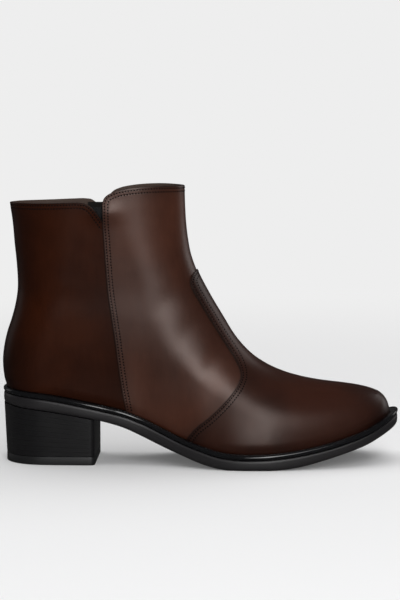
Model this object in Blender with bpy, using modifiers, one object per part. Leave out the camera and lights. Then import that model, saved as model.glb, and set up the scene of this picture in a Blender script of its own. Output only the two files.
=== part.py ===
"""Right-foot zip ankle boot with a stacked block heel.

Metres. X runs from heel to toe, +Y is the medial side (the inside of the leg), Z is up,
and the origin is the middle of the heel's underside on the floor.
"""
import math

import bmesh
import bpy
import numpy as np

MM = 0.001

# Driving dimensions
GAP = 0.3 * MM
QUARTER_STEP = 0.8 * MM
UPPER_WALL = 2.2 * MM
QUARTER_OVERLAY = 1.6 * MM
VAMP_OVERLAY = 3.0 * MM
ELASTIC_THICKNESS = 1.2 * MM
WELT_THICKNESS = 3.3 * MM
INSOLE_RISE = 2.4 * MM
INSOLE_CLEARANCE = 1.0 * MM
HEEL_BREAST_X = 32.5 * MM
HEEL_TAPER = 1.2 * MM
TOP_LIFT_THICKNESS = 5.5 * MM
TOP_LIFT_EASE = 0.5 * MM
HEEL_INSET = 0.5 * MM
HEEL_FLARE = 0.3 * MM
HEEL_CORNER = 3.0 * MM
INSOLE_EDGE = 0.8 * MM
WELT_UNDER_UPPER = 0.1 * MM
WELD_DISTANCE = 0.02 * MM
TOE_SWING = 6.0 * MM
TOE_SWING_START_X = 140 * MM
ZIP_SLOT_WIDTH = 9.0 * MM
ZIP_CHAIN_WIDTH = 5.0 * MM
ZIP_TAPE_MARGIN = 5.0 * MM
ZIP_TAPE_THICKNESS = 1.0 * MM
ZIP_CHAIN_RISE = 1.6 * MM
ZIP_CHAIN_THICKNESS = 2.2 * MM
ZIP_CHAIN_END = 2.0 * MM
ZIP_SLOT_PAST_SEAM = 0.4 * MM
ZIP_BOTTOM_Z = 63 * MM
ZIP_TOP_Z = 171 * MM
SLIDER_Z = 163 * MM
SLIDER_WIDTH = 7.6 * MM
SLIDER_LENGTH = 11.0 * MM
SLIDER_BODY_HEIGHT = 1.6 * MM
SLIDER_EASE = 0.25 * MM
BRIDGE_WIDTH = 1.8 * MM
BRIDGE_LENGTH = 7.0 * MM
BRIDGE_CLEARANCE = 1.9 * MM
BRIDGE_THICKNESS = 1.1 * MM
BRIDGE_LEG = 1.2 * MM
BRIDGE_SINK = 0.4 * MM
PULL_WIDTH = 6.4 * MM
PULL_LENGTH = 21.0 * MM
PULL_THICKNESS = 1.2 * MM
PULL_WINDOW_WIDTH = 2.8 * MM
PULL_WINDOW_LENGTH = 4.6 * MM
PULL_TOP_SHARE = 0.85

# Side view of the upper, x and z in millimetres, from the feather edge up to the collar
FRONT_PROFILE = [
    (227.9, 31.8), (227.2, 35.4), (225.1, 40.5), (221.6, 44.1), (216.4, 46.4), (208.2, 48.6),
    (197.9, 50.3), (187.6, 51.6), (177.3, 53.2), (167.0, 55.5), (156.7, 58.7), (146.3, 63.4),
    (136.0, 70.2), (127.4, 79.0), (118.5, 92.4), (110.3, 106.0), (104.1, 117.0), (98.9, 128.0),
    (95.3, 138.0), (93.2, 148.0), (91.7, 158.0), (90.7, 172.0), (90.2, 184.5), (90.0, 192.0),
]
BACK_PROFILE = [
    (-29.1, 50.0), (-30.4, 55.0), (-31.1, 60.0), (-31.4, 68.6), (-30.4, 77.0), (-28.2, 86.6),
    (-25.2, 95.5), (-22.7, 105.0), (-21.4, 114.0), (-21.1, 123.0), (-21.7, 133.0),
    (-22.9, 145.0), (-24.1, 159.5), (-25.8, 172.0), (-26.6, 180.0),
]
TOE_CORNER_ROW = 3

# Along the sole: x, top of the welt, underside of the outsole, projection past the upper
SOLE_LINE = [
    (-36, 50.8, 40.2, 1.3), (-30, 50.0, 39.4, 1.3), (5, 46.1, 35.2, 2.6), (22, 42.9, 32.4, 3.0),
    (39, 39.2, 29.0, 3.2), (52, 36.0, 25.1, 3.4), (64, 31.4, 19.7, 3.6), (76.5, 25.6, 13.9, 3.8),
    (91, 19.0, 7.9, 4.0), (104, 14.6, 3.2, 4.2), (113, 12.0, 1.0, 4.4), (123, 10.6, 0.0, 4.5),
    (138, 10.2, 0.0, 4.6), (153, 10.9, 0.2, 4.8), (168, 12.7, 1.9, 5.0), (183, 15.5, 4.8, 5.2),
    (198, 19.3, 8.4, 5.4), (213, 24.4, 13.2, 5.7), (224, 29.7, 18.6, 6.0), (236, 36.0, 26.0, 6.2),
]
FOREFOOT_FLAT = (120 * MM, 150 * MM)
# Edge of the outsole: inset in millimetres, share of the thickness from the floor side up
OUTSOLE_EDGE = [(1.6, 0.0), (0.7, 0.10), (0.3, 0.30), (0.3, 0.80), (1.0, 1.0)]

# Half widths of the last at the feather edge: x, lateral, medial, from the toe-swing line
FEATHER_WIDTH = [
    (-36, 27.0, 27.0), (0, 27.3, 27.3), (20, 27.5, 26.5), (45, 27.0, 24.0), (65, 27.5, 22.0),
    (85, 32.0, 24.0), (105, 38.5, 29.5), (125, 42.8, 35.0), (145, 43.0, 37.6), (165, 40.5, 37.2),
    (185, 36.6, 35.2), (200, 32.8, 32.6), (210, 30.2, 30.4), (220, 27.5, 27.5), (236, 24.0, 24.0),
]
# Higher up the foot and leg: z, half width, rounding depth at the back, at the front
SHAFT_WIDTH = [
    (0, 27.0, 27.0, 30.0), (50, 27.3, 27.0, 34.0), (70, 29.0, 29.0, 42.0), (95, 28.4, 31.0, 42.0),
    (115, 27.4, 34.0, 38.0), (135, 27.6, 38.0, 38.0), (155, 28.2, 42.0, 42.0), (192, 29.0, 46.0, 46.0),
]
WIDTH_RISE = 76 * MM
ROUNDING_POWER = 2.2
FEATHER_TUCK = 0.045
FEATHER_TUCK_RISE = 7 * MM

# Panel edges in the side view, x and z in millimetres
SIDE_SEAM = [
    (54.5, 29.0), (53.1, 37.4), (50.6, 50.9), (48.1, 69.4), (45.6, 88.7), (44.2, 98.0),
    (41.8, 114.7), (40.2, 134.9), (39.4, 148.3), (38.7, 158.5),
]
VAMP_EDGE = [
    (90.0, 8.0), (93.5, 19.0), (99.7, 26.3), (107.8, 33.0), (116.8, 41.7), (122.8, 48.4),
    (127.0, 54.2), (128.9, 59.4), (128.0, 64.0), (125.2, 69.8), (119.1, 79.4), (110.9, 92.0),
    (106.3, 99.6), (101.4, 107.8), (97.1, 115.6), (95.4, 120.4), (96.1, 124.0), (98.6, 127.3),
]
GORE_OUTLINE = [(20.0, 148.0), (46.0, 148.0), (46.0, 170.0), (32.0, 170.5), (20.0, 168.5)]
COLLAR_BACK = [(-60.0, 172.0), (-26.0, 172.4), (0.0, 172.7), (18.0, 173.3)]
NOTCH_BACK = [(21.8, 173.2), (25.6, 172.4), (30.4, 168.5), (35.0, 162.8), (37.9, 158.3)]
COLLAR_FRONT = [
    (38.5, 159.0), (38.5, 173.0), (39.4, 176.0), (41.9, 178.7), (45.7, 180.6), (53.9, 182.7),
    (62.4, 184.0), (74.0, 184.9), (90.5, 184.5), (130.0, 183.5),
]

# Levels, from the front quarter's outer face
BEHIND_WALL = -QUARTER_STEP - UPPER_WALL - GAP
CHAIN_FACE = BEHIND_WALL + ZIP_CHAIN_RISE

# Grids
UPPER_ROWS = 20
UPPER_COLUMNS = 27
ROW_CROWDING = 1.25
BELOW_FEATHER = 3.5 * MM
HEM = 1.5 * MM
RIM_STATIONS = 36
HEEL_STATIONS = 16
HEEL_CORNER_STATIONS = 3
PROFILE_STEPS = 4
SIDE_REACH = 75 * MM
ONE_SIDE_Y = 5 * MM

for leftover in list(bpy.data.objects):
    bpy.data.objects.remove(leftover, do_unlink=True)

boot_parts = bpy.data.collections.new("zip_ankle_boot")
cutters = bpy.data.collections.new("cutters")
bpy.context.scene.collection.children.link(boot_parts)
bpy.context.scene.collection.children.link(cutters)


def metres(table):
    return np.array(table, dtype=float) * MM


FRONT, BACK = metres(FRONT_PROFILE), metres(BACK_PROFILE)
SOLE, FEATHER, SHAFT = metres(SOLE_LINE), metres(FEATHER_WIDTH), metres(SHAFT_WIDTH)


def smooth_value(at, xs, ys):
    """Cubic interpolation of ys over xs, with slopes averaged from the neighbours."""
    slopes = np.gradient(ys, xs)
    k = np.clip(np.searchsorted(xs, at) - 1, 0, len(xs) - 2)
    span = xs[k + 1] - xs[k]
    u = np.clip((at - xs[k]) / span, 0.0, 1.0)
    start = (1 + 2 * u) * (1 - u) ** 2 * ys[k] + u * (1 - u) ** 2 * span * slopes[k]
    end = u * u * (3 - 2 * u) * ys[k + 1] - u * u * (1 - u) * span * slopes[k + 1]
    return start + end


def column(table, at, index):
    return smooth_value(np.asarray(at, dtype=float), table[:, 0], table[:, index])


def along(points, fraction):
    """Points on a smooth curve through the given ones, at fractions of its length."""
    points = np.asarray(points, dtype=float)
    length = np.concatenate([[0.0], np.cumsum(np.linalg.norm(np.diff(points, axis=0), axis=1))])
    at = np.asarray(fraction, dtype=float) * length[-1]
    return np.stack([smooth_value(at, length, points[:, i]) for i in range(2)], axis=-1)


def smooth_outline(table):
    """The same curve with a few points between each two rows of the table."""
    return along(metres(table), np.linspace(0, 1, (len(table) - 1) * PROFILE_STEPS + 1))


def smooth_step(value):
    value = np.clip(value, 0.0, 1.0)
    return value * value * (3 - 2 * value)


def welt_top(x):
    return column(SOLE, x, 1)


def outsole_bottom(x):
    height = np.maximum(column(SOLE, x, 2), 0.0)
    on_floor = (x > FOREFOOT_FLAT[0]) & (x < FOREFOOT_FLAT[1])
    return np.where(on_floor, 0.0, height)


def centre_line(x):
    return TOE_SWING * smooth_step((x - TOE_SWING_START_X) / (FRONT[0, 0] - TOE_SWING_START_X))


def distance_to(x, z, line):
    """Distance in the side view from each point to a polyline."""
    point = np.stack([x, z], axis=-1)[..., None, :]
    start, step = line[:-1], np.diff(line, axis=0)
    t = np.clip(((point - start) * step).sum(-1) / (step ** 2).sum(-1), 0.0, 1.0)
    return np.linalg.norm(point - start - t[..., None] * step, axis=-1).min(-1)


def lowered(profile):
    """A profile with one more point below the feather edge."""
    return np.vstack([profile[0] - (0, BELOW_FEATHER), profile])


FRONT_LINE = along(lowered(FRONT), np.linspace(0, 1, 90))
BACK_LINE = along(lowered(BACK), np.linspace(0, 1, 60))
TOE_END = FRONT_LINE[FRONT_LINE[:, 0] >= FRONT[TOE_CORNER_ROW, 0] - MM]
INSTEP = FRONT_LINE[FRONT_LINE[:, 0] <= FRONT[TOE_CORNER_ROW, 0] + MM]


def rounding(distance, depth):
    """From 0 at the outline to 1 at the given depth, with a round shoulder."""
    left = 1 - np.clip(distance / depth, 0.0, 1.0)
    return (1 - left ** ROUNDING_POWER) ** (1 / ROUNDING_POWER)


def upper_side(x, z, side):
    """Y of the upper's outer face at side-view points; side is 1 lateral or 2 medial."""
    rise = z - welt_top(x)
    feather = column(FEATHER, x, side)
    shaft = column(SHAFT, z, 1)
    width = feather + (shaft - feather) * smooth_step(rise / WIDTH_RISE)
    toe = np.maximum(distance_to(x, z, TOE_END), 1e-9)
    instep = np.maximum(distance_to(x, z, INSTEP), 1e-9)
    front = (toe ** -4 + instep ** -4) ** -0.25
    width = width * rounding(front, column(SHAFT, z, 3))
    width = width * rounding(distance_to(x, z, BACK_LINE), column(SHAFT, z, 2))
    tuck = FEATHER_TUCK * np.clip(1 - rise / FEATHER_TUCK_RISE, 0.0, 1.5) ** 2
    direction = -1 if side == 1 else 1
    return centre_line(x) + direction * width * (1 - tuck)


def side_grid():
    """Side-view points in rows from feather to collar and columns from heel to toe."""
    rise = np.linspace(0, 1, UPPER_ROWS + 1) ** ROW_CROWDING
    run = (1 - np.cos(np.linspace(0, math.pi, UPPER_COLUMNS + 1))) / 2
    back, front = along(lowered(BACK), rise), along(lowered(FRONT), rise)
    t, s = rise[:, None, None], run[None, :, None]
    floor_x = back[0, 0] + run * (front[0, 0] - back[0, 0])
    bottom = np.stack([floor_x, welt_top(floor_x) - BELOW_FEATHER], axis=-1)
    bottom += (1 - run[:, None]) * (back[0] - bottom[0]) + run[:, None] * (front[0] - bottom[-1])
    top = back[-1] + run[:, None] * (front[-1] - back[-1])
    corners = ((1 - s) * (1 - t) * back[0] + s * (1 - t) * front[0]
               + (1 - s) * t * back[-1] + s * t * front[-1])
    grid = ((1 - t) * bottom[None] + t * top[None]
            + (1 - s) * back[:, None] + s * front[:, None] - corners)
    return grid[..., 0], grid[..., 1]


def new_object(name, mesh, collection):
    piece = bpy.data.objects.new(name, mesh)
    collection.objects.link(piece)
    return piece


def mesh_from(bm, name):
    mesh = bpy.data.meshes.new(name)
    bm.normal_update()
    bm.to_mesh(mesh)
    bm.free()
    return mesh


def finish(piece, colour, roughness, metallic=0.0, smooth_angle=35):
    """Give a piece its material and smooth shading."""
    material = bpy.data.materials.new(piece.name)
    material.use_nodes = True
    shader = material.node_tree.nodes["Principled BSDF"]
    shader.inputs["Base Color"].default_value = (*colour, 1.0)
    shader.inputs["Roughness"].default_value = roughness
    shader.inputs["Metallic"].default_value = metallic
    piece.data.materials.append(material)
    piece.data.shade_smooth()
    piece.data.set_sharp_from_angle(angle=math.radians(smooth_angle))


def upper_skin(name, level, collection, hem=0.0):
    """The open surface of the upper, raised by level along its normals.

    A hem lengthens it below the feather edge and above the collar, where it is cut later.
    """
    x, z = side_grid()
    lateral, medial = upper_side(x, z, 1), upper_side(x, z, 2)
    bm = bmesh.new()
    rings = []
    for row in range(UPPER_ROWS + 1):
        ring = [(x[row, c], lateral[row, c], z[row, c]) for c in range(UPPER_COLUMNS + 1)]
        ring += [(x[row, c], medial[row, c], z[row, c]) for c in range(UPPER_COLUMNS - 1, 0, -1)]
        rings.append([bm.verts.new(point) for point in ring])
    for low, high in zip(rings, rings[1:]):
        for k in range(len(low)):
            after = (k + 1) % len(low)
            bm.faces.new((low[k], low[after], high[after], high[k]))
    bm.normal_update()
    for vertex in bm.verts:
        vertex.co += vertex.normal * level
    for bottom, top in zip(rings[0], rings[-1]):
        bottom.co.z -= hem
        top.co.z += hem
    return new_object(name, mesh_from(bm, name), collection)


def thicken(skin, thickness):
    solid = skin.modifiers.new("wall", "SOLIDIFY")
    solid.thickness = thickness
    solid.offset = -1
    solid.use_even_offset = True


def as_cutter(piece):
    piece.hide_render = True
    piece.display_type = "WIRE"
    return piece


def boolean(piece, other, operation):
    step = piece.modifiers.new(other.name, "BOOLEAN")
    step.object = other
    step.operation = operation
    step.solver = "EXACT"


def prism(name, outline, near_y, far_y):
    """A cutter: a side-view outline run from one Y to another."""
    bm = bmesh.new()
    face = bm.faces.new([bm.verts.new((x, near_y, z)) for x, z in outline])
    grown = bmesh.ops.extrude_face_region(bm, geom=[face])["geom"]
    moved = [item for item in grown if isinstance(item, bmesh.types.BMVert)]
    bmesh.ops.translate(bm, vec=(0, far_y - near_y, 0), verts=moved)
    bmesh.ops.recalc_face_normals(bm, faces=bm.faces)
    return as_cutter(new_object(name, mesh_from(bm, name), cutters))


def seam_x(z):
    seam = metres(SIDE_SEAM)
    return smooth_value(np.asarray(z, dtype=float), seam[:, 1], seam[:, 0])


def slot_outline(back_offset, front_offset, low_z, high_z):
    """A strip with a round foot beside the side seam, between two offsets from its edge."""
    radius = (back_offset + front_offset) / 2
    heights = np.linspace(low_z + radius, high_z, 14)
    edge = seam_x(np.minimum(heights, SIDE_SEAM[-1][1] * MM))
    middle = edge[0] + front_offset - radius
    foot = [(middle + radius * math.cos(a), heights[0] - radius * math.sin(a))
            for a in np.linspace(0, math.pi, 9)[1:-1]]
    back = [(x - back_offset, z) for x, z in zip(edge, heights)]
    front = [(x + front_offset, z) for x, z in zip(edge, heights)]
    return back + front[::-1] + foot


def rim_loop():
    """The upper's feather edge in plan, from the heel round the lateral side to the toe."""
    turn = np.linspace(0, math.pi, RIM_STATIONS + 1)
    x = BACK[0, 0] + (1 - np.cos(turn)) / 2 * (FRONT[0, 0] - BACK[0, 0])
    lateral = upper_side(x, welt_top(x), 1)
    medial = upper_side(x, welt_top(x), 2)
    lateral[0] = medial[0] = 0.0
    lateral[-1] = medial[-1] = TOE_SWING
    plan_x = np.concatenate([x, x[-2:0:-1]])
    plan_y = np.concatenate([lateral, medial[-2:0:-1]])
    return np.stack([plan_x, plan_y], axis=-1)


RIM = rim_loop()


def offset_rim(distance):
    """The rim moved outwards by a distance, or by one distance per point."""
    tangent = np.roll(RIM, -1, axis=0) - np.roll(RIM, 1, axis=0)
    normal = np.stack([tangent[:, 1], -tangent[:, 0]], axis=-1)
    normal /= np.linalg.norm(normal, axis=1)[:, None]
    return RIM + normal * np.broadcast_to(distance, len(RIM))[:, None]


PROJECTION = column(SOLE, RIM[:, 0], 3)


def sole_loop(distance, from_edge, height):
    """A loop at a plan offset from the upper, or from the sole's edge, and its heights."""
    plan = offset_rim(distance + PROJECTION * from_edge)
    return np.column_stack([plan, height(plan[:, 0])])


def loft(name, loops, hollow):
    """A solid through loops of equal length: a ring when hollow, else closed by strips.

    The strips cross from one side to the other and meet at the first point of each loop.
    """
    bm = bmesh.new()
    rings = [[bm.verts.new(point) for point in loop] for loop in loops]
    pairs = list(zip(rings, rings[1:]))
    if hollow:
        pairs.append((rings[-1], rings[0]))
    for low, high in pairs:
        for k in range(len(low)):
            after = (k + 1) % len(low)
            bm.faces.new((low[k], low[after], high[after], high[k]))
    if not hollow:
        for ring in (rings[0], rings[-1]):
            half = len(ring) // 2
            for k in range(half):
                corners = (ring[k], ring[k + 1], ring[-k - 1], ring[-k])
                bm.faces.new(list(dict.fromkeys(corners)))
    bmesh.ops.recalc_face_normals(bm, faces=bm.faces)
    return new_object(name, mesh_from(bm, name), boot_parts)


def build_upper():
    """One hollow leather solid: quarters, with the front quarters and the vamp as steps."""
    upper = upper_skin("upper", -QUARTER_STEP, boot_parts)
    thicken(upper, UPPER_WALL)

    seam = [tuple(point) for point in smooth_outline(SIDE_SEAM)]
    far_x, low_z, high_z = 260 * MM, -20 * MM, 230 * MM
    past_notch = [(seam[-1][0] - MM, seam[-1][1] + 2 * MM), (seam[-1][0] - MM, high_z)]
    quarter_outline = [(seam[0][0], low_z)] + seam + past_notch + [(far_x, high_z), (far_x, low_z)]
    quarter = as_cutter(upper_skin("front_quarter_form", 0.0, cutters, HEM))
    thicken(quarter, QUARTER_OVERLAY)
    boolean(quarter, prism("front_quarter_area", quarter_outline, -SIDE_REACH, SIDE_REACH), "INTERSECT")
    boolean(upper, quarter, "UNION")

    edge = [tuple(point) for point in smooth_outline(VAMP_EDGE)]
    above_edge = [(edge[-1][0] + 12 * MM, edge[-1][1] + 9 * MM), (far_x, edge[-1][1])]
    vamp_outline = [(edge[0][0], low_z)] + edge + above_edge + [(far_x, low_z)]
    vamp = as_cutter(upper_skin("vamp_form", QUARTER_STEP, cutters, 2 * HEM))
    thicken(vamp, VAMP_OVERLAY)
    boolean(vamp, prism("vamp_area", vamp_outline, -SIDE_REACH, SIDE_REACH), "INTERSECT")
    boolean(upper, vamp, "UNION")

    collar = [tuple(point) for table in (COLLAR_BACK, NOTCH_BACK, COLLAR_FRONT)
              for point in smooth_outline(table)]
    collar += [(collar[-1][0], high_z), (collar[0][0], high_z)]
    boolean(upper, prism("collar_cut", collar, -SIDE_REACH, SIDE_REACH), "DIFFERENCE")

    stations = RIM[:RIM_STATIONS + 1, 0].copy()
    stations[0] -= 12 * MM
    stations[-1] += 12 * MM
    line = [(x, float(welt_top(x)) + GAP) for x in stations]
    under = line + [(stations[-1], low_z * 2), (stations[0], low_z * 2)]
    boolean(upper, prism("feather_cut", under, -SIDE_REACH, SIDE_REACH), "DIFFERENCE")

    slot = slot_outline(ZIP_SLOT_WIDTH, ZIP_SLOT_PAST_SEAM, ZIP_BOTTOM_Z, high_z)
    boolean(upper, prism("zip_slot_cut", slot, ONE_SIDE_Y, SIDE_REACH), "DIFFERENCE")
    weld = upper.modifiers.new("seam_weld", "WELD")
    weld.merge_threshold = WELD_DISTANCE
    finish(upper, (0.048, 0.020, 0.015), 0.34)


def build_elastic_gore():
    """The elastic behind the lateral notch between the quarters."""
    gore = upper_skin("elastic_gore", BEHIND_WALL, boot_parts)
    thicken(gore, ELASTIC_THICKNESS)
    boolean(gore, prism("gore_area", metres(GORE_OUTLINE), -SIDE_REACH, -ONE_SIDE_Y), "INTERSECT")
    finish(gore, (0.010, 0.010, 0.011), 0.75)


def build_zip():
    """Zip tape behind the medial wall, with the closed chain standing in the slot."""
    tape = upper_skin("zip", BEHIND_WALL, boot_parts)
    thicken(tape, ZIP_TAPE_THICKNESS)
    margin = ZIP_TAPE_MARGIN
    area = slot_outline(ZIP_SLOT_WIDTH + margin, margin, ZIP_BOTTOM_Z - margin, ZIP_TOP_Z)
    boolean(tape, prism("tape_area", area, ONE_SIDE_Y, SIDE_REACH), "INTERSECT")
    chain = as_cutter(upper_skin("chain_form", CHAIN_FACE, cutters))
    thicken(chain, ZIP_CHAIN_THICKNESS)
    edge = (ZIP_SLOT_WIDTH - ZIP_CHAIN_WIDTH) / 2
    ends = ZIP_BOTTOM_Z + ZIP_CHAIN_END, ZIP_TOP_Z - ZIP_CHAIN_END
    middle = slot_outline(ZIP_SLOT_WIDTH - edge, -edge, *ends)
    boolean(chain, prism("chain_area", middle, ONE_SIDE_Y, SIDE_REACH), "INTERSECT")
    boolean(tape, chain, "UNION")
    finish(tape, (0.012, 0.011, 0.011), 0.6)


def build_welt():
    """The raised rand that frames the upper's feather edge."""
    def at(drop):
        return lambda x: welt_top(x) - drop
    inner = -(QUARTER_STEP + UPPER_WALL) - WELT_UNDER_UPPER
    bead = WELT_THICKNESS / 2
    loops = [sole_loop(inner, 0, at(WELT_THICKNESS)), sole_loop(-bead, 1, at(WELT_THICKNESS))]
    for k in range(1, PROFILE_STEPS):
        turn = math.pi * k / PROFILE_STEPS
        loops.append(sole_loop(-bead + bead * math.sin(turn), 1, at(bead * (1 + math.cos(turn)))))
    loops += [sole_loop(-bead, 1, at(0)), sole_loop(inner, 0, at(0))]
    finish(loft("welt", loops, hollow=True), (0.011, 0.011, 0.012), 0.22)


def outsole_top(x):
    return welt_top(x) - WELT_THICKNESS - GAP


def build_outsole():
    """Outsole with toe spring, arch and heel seat, its edge slightly crowned."""
    loops = []
    for inset, share in OUTSOLE_EDGE:
        def height(x, share=share):
            return outsole_bottom(x) + share * (outsole_top(x) - outsole_bottom(x))
        loops.append(sole_loop(-inset * MM, 1, height))
    finish(loft("outsole", loops, hollow=False), (0.012, 0.012, 0.013), 0.42)


def build_insole():
    """Insole board and sock, filling the bottom of the upper."""
    inset = -(QUARTER_STEP + UPPER_WALL) - INSOLE_CLEARANCE
    low = sole_loop(inset, 0, lambda x: outsole_top(x) + GAP)
    high = sole_loop(inset, 0, lambda x: welt_top(x) + INSOLE_RISE - INSOLE_EDGE)
    crown = sole_loop(inset - INSOLE_EDGE, 0, lambda x: welt_top(x) + INSOLE_RISE)
    finish(loft("insole", [low, high, crown], hollow=False), (0.07, 0.035, 0.02), 0.7)


def heel_loop(inset, back_shift, height):
    """Heel outline: the sole's round heel cut off flat at the breast, with eased corners.

    The back of the loop is shifted forward, to taper the heel towards the floor.
    """
    edge = offset_rim(PROJECTION - inset)
    half = RIM_STATIONS + 1
    back_x = edge[0, 0]
    straight_end = HEEL_BREAST_X - HEEL_CORNER
    turn = np.linspace(0, math.pi / 2, HEEL_STATIONS + 1)
    ease = np.linspace(0, math.pi / 2, HEEL_CORNER_STATIONS + 1)[1:]
    x = straight_end - np.cos(turn) * (straight_end - back_x - back_shift)
    x = np.concatenate([x, straight_end + HEEL_CORNER * np.sin(ease)])
    drawn_in = np.concatenate([np.zeros(len(turn)), HEEL_CORNER * (1 - np.cos(ease))])
    sole_x = x - back_shift * (x < 0)
    lateral = np.interp(sole_x, edge[:half, 0], edge[:half, 1]) + drawn_in
    medial_edge = np.vstack([edge[:1], edge[:half - 2:-1]])
    medial = np.interp(sole_x, medial_edge[:, 0], medial_edge[:, 1]) - drawn_in
    lateral[0] = medial[0] = 0.0
    loop_x = np.concatenate([x, x[:0:-1]])
    loop_y = np.concatenate([lateral, medial[:0:-1]])
    return np.column_stack([loop_x, loop_y, np.broadcast_to(height(loop_x), len(loop_x))])


def build_heel():
    """Heel block under the heel seat, and the top lift that meets the floor."""
    low = HEEL_INSET + HEEL_FLARE
    block = [heel_loop(low, HEEL_TAPER, lambda x: TOP_LIFT_THICKNESS + GAP),
             heel_loop(HEEL_INSET, 0.0, lambda x: outsole_bottom(x) - GAP)]
    finish(loft("heel_block", block, hollow=False), (0.010, 0.010, 0.011), 0.35)
    lift = [heel_loop(low + TOP_LIFT_EASE, HEEL_TAPER, lambda x: 0.0),
            heel_loop(low, HEEL_TAPER, lambda x: TOP_LIFT_EASE),
            heel_loop(low, HEEL_TAPER, lambda x: TOP_LIFT_THICKNESS)]
    finish(loft("top_lift", lift, hollow=False), (0.016, 0.016, 0.017), 0.55)


def zip_place():
    """Middle of the slider's back: its point on the chain, and the lean of the wall."""
    x = float(seam_x(SIDE_SEAM[-1][1] * MM)) - ZIP_SLOT_WIDTH / 2
    ends = np.array([SLIDER_Z - SLIDER_LENGTH, SLIDER_Z + SLIDER_LENGTH])
    low, high = upper_side(np.array([x, x]), ends, 2)
    lean = math.atan2(high - low, ends[1] - ends[0])
    return x, float(low + high) / 2 + CHAIN_FACE + GAP, lean


def box_mesh(name, low, high):
    bm = bmesh.new()
    bmesh.ops.create_cube(bm, size=1.0)
    for vertex in bm.verts:
        for axis in range(3):
            middle, size = (low[axis] + high[axis]) / 2, high[axis] - low[axis]
            vertex.co[axis] = middle + vertex.co[axis] * size
    return mesh_from(bm, name)


def place_on_zip(pieces):
    """Stand pieces built about the pull's axis on the medial wall."""
    x, face, lean = zip_place()
    axis_out = SLIDER_BODY_HEIGHT + BRIDGE_CLEARANCE / 2
    for piece in pieces:
        piece.location = (x, face + axis_out * math.cos(lean), SLIDER_Z - axis_out * math.sin(lean))
        piece.rotation_euler = (-lean, 0, 0)


def build_slider_and_pull():
    """Slider body with its bridge, and the pull hanging by a bar under the bridge."""
    body_out = -BRIDGE_CLEARANCE / 2
    bridge_in = BRIDGE_CLEARANCE / 2
    bridge_out = bridge_in + BRIDGE_THICKNESS
    half_w, half_l = SLIDER_WIDTH / 2, SLIDER_LENGTH / 2
    half_b, half_s = BRIDGE_WIDTH / 2, BRIDGE_LENGTH / 2
    body = ((-half_w, body_out - SLIDER_BODY_HEIGHT, -half_l), (half_w, body_out, half_l))
    slider = new_object("zip_slider", box_mesh("zip_slider", *body), boot_parts)
    bridge = ((-half_b, body_out - BRIDGE_SINK, -half_s), (half_b, bridge_out, half_s))
    half_c = half_s - BRIDGE_LEG
    under = ((-half_w, body_out - BRIDGE_SINK / 2, -half_c), (half_w, bridge_in, half_c))
    arch = as_cutter(new_object("bridge_form", box_mesh("bridge_form", *bridge), cutters))
    clear = as_cutter(new_object("bridge_clearance_cut", box_mesh("clearance", *under), cutters))
    boolean(arch, clear, "DIFFERENCE")
    boolean(slider, arch, "UNION")
    eased = slider.modifiers.new("eased", "BEVEL")
    eased.width = SLIDER_EASE
    eased.limit_method = "ANGLE"
    eased.angle_limit = math.radians(50)
    finish(slider, (0.12, 0.11, 0.10), 0.3, 1.0)

    bar = PULL_THICKNESS / 2
    end = PULL_WIDTH / 2
    turn = np.linspace(0, math.pi, 13)
    tab = [(-end * math.cos(a), end - PULL_LENGTH - end * math.sin(a)) for a in turn]
    tab += [(end * PULL_TOP_SHARE, bar), (-end * PULL_TOP_SHARE, bar)]
    pull = prism("zip_pull", tab, -bar, bar)
    boot_parts.objects.link(pull)
    cutters.objects.unlink(pull)
    pull.hide_render, pull.display_type = False, "TEXTURED"
    side = PULL_WINDOW_WIDTH / 2
    foot = -PULL_WINDOW_LENGTH
    window = [(-side, foot), (side, foot), (side, -bar), (-side, -bar)]
    opening = prism("pull_window_cut", window, -2 * bar, 2 * bar)
    boolean(pull, opening, "DIFFERENCE")
    finish(pull, (0.12, 0.11, 0.10), 0.3, 1.0)
    place_on_zip([slider, arch, clear, pull, opening])


build_upper()
build_elastic_gore()
build_zip()
build_welt()
build_outsole()
build_insole()
build_heel()
build_slider_and_pull()
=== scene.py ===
"""Looks of the zip ankle boot: leather panels, stitching, zip, elastic, sole and heel.

Metres. X runs from heel to toe, +Y is the medial side, Z is up, as in the frame.
"""
import math

import bmesh
import bpy
import numpy as np
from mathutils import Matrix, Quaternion, Vector


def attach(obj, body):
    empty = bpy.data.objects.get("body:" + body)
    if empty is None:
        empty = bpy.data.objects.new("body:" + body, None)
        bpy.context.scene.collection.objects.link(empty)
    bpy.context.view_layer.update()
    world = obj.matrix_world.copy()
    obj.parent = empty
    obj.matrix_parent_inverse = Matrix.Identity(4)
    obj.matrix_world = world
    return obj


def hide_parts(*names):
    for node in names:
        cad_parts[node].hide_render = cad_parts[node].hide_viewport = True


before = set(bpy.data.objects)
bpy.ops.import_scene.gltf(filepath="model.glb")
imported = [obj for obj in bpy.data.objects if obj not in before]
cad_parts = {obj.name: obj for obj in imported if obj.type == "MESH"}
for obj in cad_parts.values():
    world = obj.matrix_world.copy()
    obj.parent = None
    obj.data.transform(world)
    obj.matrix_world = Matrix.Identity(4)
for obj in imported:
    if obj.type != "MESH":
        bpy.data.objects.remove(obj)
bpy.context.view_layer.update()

MM = 0.001
TOLERANCE = 0.05 * MM

# Camera, from the photo's perspective on the boot
CAMERA_AT = (0.140, -1.35, 0.250)
CAMERA_AIM = (0.1013, 0.0, 0.1071)
CAMERA_VIEW_HEIGHT = 400.2 * MM
CAMERA_SENSOR = 36.0

# Brightness of the surroundings, as the camera sees them and as they light the boot
STUDIO_SEEN = 0.855
STUDIO_AROUND = 0.04
BOOT_MIDDLE = (0.09, 0.0, 0.09)
FLOOR_SIZE = 60.0
FLOOR_COLOUR = (0.83, 0.83, 0.835)
SHADOWED_TO = 0.30
GLOWING_FROM = 1.1
GLOW_NEAR_BOOT = 0.12

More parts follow.
